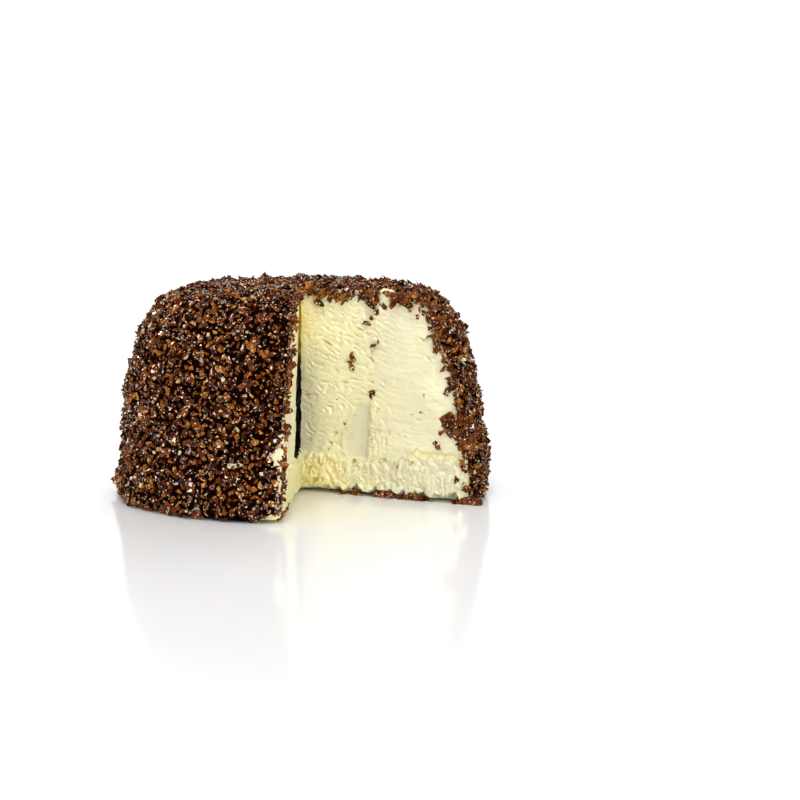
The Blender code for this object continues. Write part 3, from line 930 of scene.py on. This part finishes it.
# %% Lay copies of chips on a sheet
def scatter(name, sheet, collection, spacing, sizes, share, tilt, lift, seed):
    """Copies of a collection's chips on a sheet, made one mesh.

    spacing is the least distance between crumbs, sizes the least and greatest scale, share the part of
    the spots that this kind takes, from and to, tilt the greatest tilt in degrees and lift how far a
    crumb's middle lies from the sheet, from and to.
    """
    piece = add_object(name, sheet.data.copy())
    group = bpy.data.node_groups.new(name, "GeometryNodeTree")
    for way in ("INPUT", "OUTPUT"):
        group.interface.new_socket("Geometry", in_out=way, socket_type="NodeSocketGeometry")
    tree = Tree(group)

    def chance(kind, low, high, number):
        """A random value for each crumb. The node has its own sockets for each kind of value."""
        least, greatest, result = {"FLOAT_VECTOR": (0, 1, 0), "FLOAT": (2, 3, 1), "INT": (4, 5, 2)}[kind]
        inputs = {least: low, greatest: high, "Seed": seed * 10 + number}
        return tree.node("FunctionNodeRandomValue", {"data_type": kind}, inputs, output=result)

    def scaled(vector, scale):
        return tree.node("ShaderNodeVectorMath", {"operation": "SCALE"}, {"Vector": vector, "Scale": scale})

    ground = tree.node("NodeGroupInput", {}, [])
    cover = tree.node("GeometryNodeInputNamedAttribute", {"data_type": "FLOAT"}, {"Name": "cover"})
    spots = tree.node(
        "GeometryNodeDistributePointsOnFaces",
        {"distribute_method": "POISSON"},
        {"Mesh": ground, "Distance Min": spacing, "Density Max": 14.0, "Density Factor": cover, "Seed": seed},
    )
    kind = chance("FLOAT", 0.0, 1.0, 1)
    mine = kind.math("GREATER_THAN", share[0]) * kind.math("LESS_THAN", share[1])
    loose = 1 - 0.8 * tree.node("GeometryNodeInputNamedAttribute", {"data_type": "FLOAT"}, {"Name": "flat"})
    away = scaled(spots.output("Normal"), loose * chance("FLOAT", *lift, 2))
    placed = tree.node("GeometryNodeSetPosition", {}, {"Geometry": spots, "Offset": away})
    lean = math.radians(tilt)
    tipped = scaled(chance("FLOAT_VECTOR", (-lean, -lean, 0), (lean, lean, 0), 3), loose)
    heading = chance("FLOAT_VECTOR", (0, 0, 0), (0, 0, 2 * math.pi), 7)
    euler = tree.node("ShaderNodeVectorMath", {"operation": "ADD"}, [tipped, heading])
    turn = tree.node("FunctionNodeEulerToRotation", {}, [euler])
    turned = tree.node("FunctionNodeRotateRotation", {"rotation_space": "LOCAL"}, [spots.output("Rotation"), turn])
    kit = tree.node("GeometryNodeCollectionInfo", {}, {0: collection, 1: True, 2: True})
    crumbs = tree.node(
        "GeometryNodeInstanceOnPoints",
        {},
        {
            "Points": placed, "Selection": mine, "Instance": kit, "Pick Instance": True,
            "Instance Index": chance("INT", 0, len(collection.objects) - 1, 4), "Rotation": turned,
            "Scale": chance("FLOAT_VECTOR", (sizes[0],) * 3, (sizes[1],) * 3, 5),
        },
    )
    toned = tree.node(
        "GeometryNodeStoreNamedAttribute",
        {"data_type": "FLOAT", "domain": "INSTANCE"},
        {"Geometry": crumbs, "Name": "tone", "Value": chance("FLOAT", 0.0, 1.0, 6)},
    )
    tree.node("NodeGroupOutput", {}, [tree.node("GeometryNodeRealizeInstances", {}, [toned])])
    apply_modifier(piece, "NODES", node_group=group)
    bpy.data.node_groups.remove(group)
    points = points_of(piece)
    points[:, 2] = np.maximum(points[:, 2], 0.0)
    set_points(piece, points)
    return piece


# %% [markdown]
# The hull is dark, red-brown and shiny, and each chip is mottled: nearly black where it is thick, amber
# where it is thin, with small warm-white flecks that are painted glints and also stand for specks of
# kernel. Amber skins let light through, so they get some subsurface light. Kernels are pale and dull.
# Each crumb has a tone from 0 to 1, which picks its colour.


# %% Looks of the crumbs
def hull_look(tree):
    tone = tree.attribute("tone")
    body = tree.ramp(
        tone, (0.0, (0.038, 0.007, 0.002)), (0.5, (0.14, 0.027, 0.004)), (0.85, (0.26, 0.058, 0.006)),
        (1.0, (0.52, 0.18, 0.017)),
    )
    thick = tree.span(tree.fog(1300.0, 2.0), 0.4, 0.58)
    mottled = tree.blend(thick * (0.95 - 0.35 * tone), body, (0.016, 0.0035, 0.001, 1))
    # Painted glints: small warm-white flecks, which also stand for specks of kernel.
    glint_fleck = tree.span(tree.fog(2300.0, 1.0), 0.64, 0.67, 0.0, 0.95)
    glint_flecked = tree.blend(glint_fleck, mottled, (0.95, 0.76, 0.46, 1))
    return {"Base Color": glint_flecked, "Roughness": 0.15, "Specular IOR Level": 0.11}


def skin_look(tree):
    tone = tree.attribute("tone")
    body = tree.ramp(tone, (0.0, (0.15, 0.036, 0.004)), (0.6, (0.34, 0.1, 0.01)), (1.0, (0.62, 0.26, 0.04)))
    thick = tree.span(tree.fog(1300.0, 2.0), 0.42, 0.62, 0.0, 0.9)
    mottled = tree.blend(thick, body, (0.04, 0.01, 0.002, 1))
    return {
        "Base Color": mottled, "Roughness": 0.18, "Specular IOR Level": 0.16,
        "Subsurface Weight": 0.3, "Subsurface Radius": (1.0, 0.35, 0.12), "Subsurface Scale": 0.0006,
    }


def kernel_look(tree):
    tone = tree.attribute("tone")
    body = tree.ramp(tone, (0.0, (0.42, 0.24, 0.08)), (0.5, (0.72, 0.55, 0.27)), (1.0, (0.92, 0.83, 0.56)))
    mottled = tree.blend(tree.fog(1300.0, 2.0) * 0.5, body, (0.4, 0.2, 0.07, 1))
    return {"Base Color": mottled, "Roughness": 0.4, "Specular IOR Level": 0.3}


KINDS = {
    "hull": (HULL_CHIPS, new_material("mustard hull", hull_look)),
    "skin": (SKIN_CHIPS, new_material("amber skin", skin_look)),
    "kernel": (KERNEL_CHIPS, new_material("mustard kernel", kernel_look)),
}


# %% Lay one layer of crumbs on a sheet
def lay(prefix, sheet, layer, **how):
    """layer lists its kinds, each with its share and sizes."""
    for kind, share, sizes in layer:
        kit, finish = KINDS[kind]
        piece = scatter(f"{prefix}{kind}_crumbs", sheet, kit, share=share, sizes=sizes, **how)
        finish_piece(piece, finish, "mustard_coat")


# %% The main crumbs, and finer ones between them
LARGE, SMALL = (0.85, 1.9), (0.4, 0.85)
main = ("hull", (0.0, 0.83), LARGE), ("skin", (0.83, 0.965), LARGE), ("kernel", (0.965, 1.0), (0.6, 1.35))
fine = ("hull", (0.0, 0.78), SMALL), ("skin", (0.78, 0.9), SMALL), ("kernel", (0.9, 1.0), SMALL)
lay("", side_sheet, main, spacing=1.08, tilt=52, lift=(-0.2, 0.38), seed=1)
lay("fine_", side_sheet, fine, spacing=1.35, tilt=60, lift=(0.05, 0.52), seed=2)

# %% Crumbs under the cheese, pressed flat by its weight, and in the cut edges of the coat
PRESSED, SET_IN = (0.8, 1.3), (0.7, 1.4)
base = ("hull", (0.0, 0.85), PRESSED), ("skin", (0.85, 1.0), PRESSED)
edge = ("hull", (0.0, 0.72), SET_IN), ("skin", (0.72, 0.96), SET_IN), ("kernel", (0.96, 1.0), SET_IN)
lay("base_", base_sheet, base, spacing=1.2, tilt=20, lift=(-0.2, 0.1), seed=3)
lay("edge_", band_sheet, edge, spacing=0.7, tilt=70, lift=(0.0, 0.6), seed=4)

# %% [markdown]
# ## Crumbs on the cut faces
#
# The knife carried some crumbs down with it. They lie where the photograph shows them, most of them
# near the top and the right edge, and each is partly sunk in the paste.

# %% Their places, as (along the cut, height, radius) in millimetres
RIGHT_CRUMBS = (
    (17.8, 37.8, 0.6), (19.2, 39.1, 0.6), (16.0, 35.3, 0.75), (16.5, 36.4, 0.6), (17.1, 31.3, 0.6), (18.3, 31.8, 0.4),
    (12.3, 28.2, 0.8), (12.3, 26.7, 0.7), (16.7, 21.1, 0.7), (27.0, 37.4, 0.5), (28.0, 18.1, 0.35), (28.4, 21.6, 0.25),
    (31.7, 33.4, 0.6), (33.3, 31.5, 0.6), (31.0, 30.6, 0.5), (33.9, 27.3, 0.7), (35.3, 26.2, 0.6), (34.6, 23.3, 0.8),
    (33.5, 22.3, 0.6), (10.4, 14.6, 0.3), (32.4, 14.3, 0.6), (31.3, 11.6, 0.8), (31.8, 11.0, 0.5), (35.7, 13.5, 0.9),
    (36.4, 12.7, 0.6), (34.2, 16.2, 0.8), (36.8, 17.2, 0.8),
)

# Clusters, as (along, height, half width, half height, how many)
CLUSTERS = (
    (4.3, 40.2, 0.7, 1.0, 7), (8.9, 41.0, 1.0, 0.7, 8), (11.2, 40.6, 1.0, 1.2, 10), (14.9, 41.0, 0.9, 0.9, 8),
    (17.4, 40.3, 1.2, 1.0, 9), (22.5, 40.9, 2.0, 0.8, 12), (27.0, 40.4, 1.8, 1.2, 15), (30.2, 38.4, 1.0, 1.8, 14),
    (32.0, 35.6, 0.8, 1.6, 10), (34.0, 15.6, 1.2, 1.6, 14), (37.2, 16.2, 2.2, 1.6, 26), (38.3, 12.5, 1.2, 1.6, 12),
    (2.2, 41.5, 1.5, 0.4, 9), (6.4, 41.5, 1.2, 0.35, 7),
)

# Clumps under the right face's lower edge: along from and to, and how many crumbs
BASE_CLUMPS = ((9.3, 10.3, 4), (11.5, 13.5, 8), (17.2, 21.5, 18), (22.8, 28.5, 24), (35.0, 41.0, 30))

# Crumbs along the rim of each face: how many, and how far in from it they usually lie
RIM_CRUMBS = (("right", 150, 0.45), ("left", 210, 0.25))
RIM_MIDDLE = 12  # the height that the rim curves round
STRAY_BITS, LEFT_FOOT_CRUMBS = 24, 16


def rim_of(side):
    """The edge of the paste on a cut face, as (along, height), from the foot up."""
    rim = []
    for radius, z in section(PASTE_INSET, 1.0, 0.4):
        forward, _ = cut_frame(side, z)
        point = turned_point(SIDES[side][0](z), radius, z, COAT_THICKER)
        if radius > 3 and z > 1.5:
            rim.append(((point - CUT_POINT).dot(forward), point.z))
    return rim


def crumb_places(draw):
    """Each crumb in turn, as (side, along, height, radius)."""
    for crumb in RIGHT_CRUMBS:
        yield "right", *crumb
    for side, count, usual in RIM_CRUMBS:
        rim = rim_of(side)
        for _ in range(count):
            along, height = draw.choice(rim)
            inward = draw.expovariate(1 / usual)
            slope = math.atan2(height - RIM_MIDDLE, along)
            spot = along - inward * math.cos(slope), height - inward * math.sin(slope)
            yield side, *spot, draw.uniform(0.3, 0.75)
    for along, height, wide, high, count in CLUSTERS:
        for _ in range(count):
            spot = along + wide * draw.uniform(-1, 1), height + high * draw.uniform(-1, 1)
            yield "right", *spot, draw.uniform(0.5, 1.05)
    for along, height, radius in RIGHT_CRUMBS:
        for _ in range(draw.choice((0, 1, 1, 2)) if radius > 0.45 else 0):
            turn = draw.uniform(0, 2 * math.pi)
            off = radius * draw.uniform(0.7, 1.2)
            yield "right", along + off * math.cos(turn), height + off * math.sin(turn), radius * 0.6
    for start, end, count in BASE_CLUMPS:
        for _ in range(count):
            yield "right", draw.uniform(start, end), draw.uniform(0.2, 0.8), draw.uniform(0.45, 0.75)
    for _ in range(STRAY_BITS):
        yield "right", draw.uniform(2, 35), draw.uniform(9, 38), draw.uniform(0.1, 0.18)
    for _ in range(LEFT_FOOT_CRUMBS):
        yield "left", draw.uniform(20, 37), draw.uniform(0.2, 1.2), draw.uniform(0.25, 0.6)


# %% Copies of the chips at those places, joined as one mesh a kind
CHIP_SCALE, CHIP_OUT = 2.3, 0.45  # its scale and how far its middle stands out, for a radius of 1
CLUMP_HEIGHT, CLUMP_STAND = 2.5, -0.3  # below this height crumbs lie in the shade of the curd


def crumbs_on_cuts(name, collection, places, draw):
    verts, faces, tones = [], [], []
    for side, along, height, radius in places:
        chosen = draw.choice(list(collection.objects))
        turn = Euler([draw.uniform(0, 2 * math.pi) for _ in range(3)]).to_matrix()
        stand = SIDES[side][2](along, height)[0] if height > CLUMP_HEIGHT else CLUMP_STAND
        middle = on_cut(side, along, height, stand + CHIP_OUT * radius)
        start = len(verts)
        for vert in chosen.data.vertices:
            verts.append(middle + turn @ vert.co * (CHIP_SCALE * radius * draw.uniform(0.85, 1.15)))
        faces += [[start + k for k in face.vertices] for face in chosen.data.polygons]
        tones += [draw.uniform(0.15, 0.95)] * len(chosen.data.vertices)
    data = bpy.data.meshes.new(name)
    data.from_pydata([(x, y, max(z, 0.0)) for x, y, z in verts], [], faces)
    piece = add_object(name, data)
    keep(piece, "tone", tones)
    return piece


draw = random.Random(7)
places = [(side, along, max(z, radius * 0.5), radius) for side, along, z, radius in crumb_places(draw)]
draw.shuffle(places)
half = round(0.5 * len(places))
for kind, chosen in (("hull", places[:half]), ("skin", places[half:])):
    kit, finish = KINDS[kind]
    piece = crumbs_on_cuts(f"{kind}_crumbs_on_cuts", kit, chosen, draw)
    finish_piece(piece, finish, "cheese")

# %% Clear away the sheets and the chips that were copied
for sheet in (side_sheet, base_sheet, band_sheet):
    bpy.data.objects.remove(sheet, do_unlink=True)
for kit, _ in KINDS.values():
    for made in list(kit.objects):
        bpy.data.objects.remove(made, do_unlink=True)
    bpy.data.collections.remove(kit)
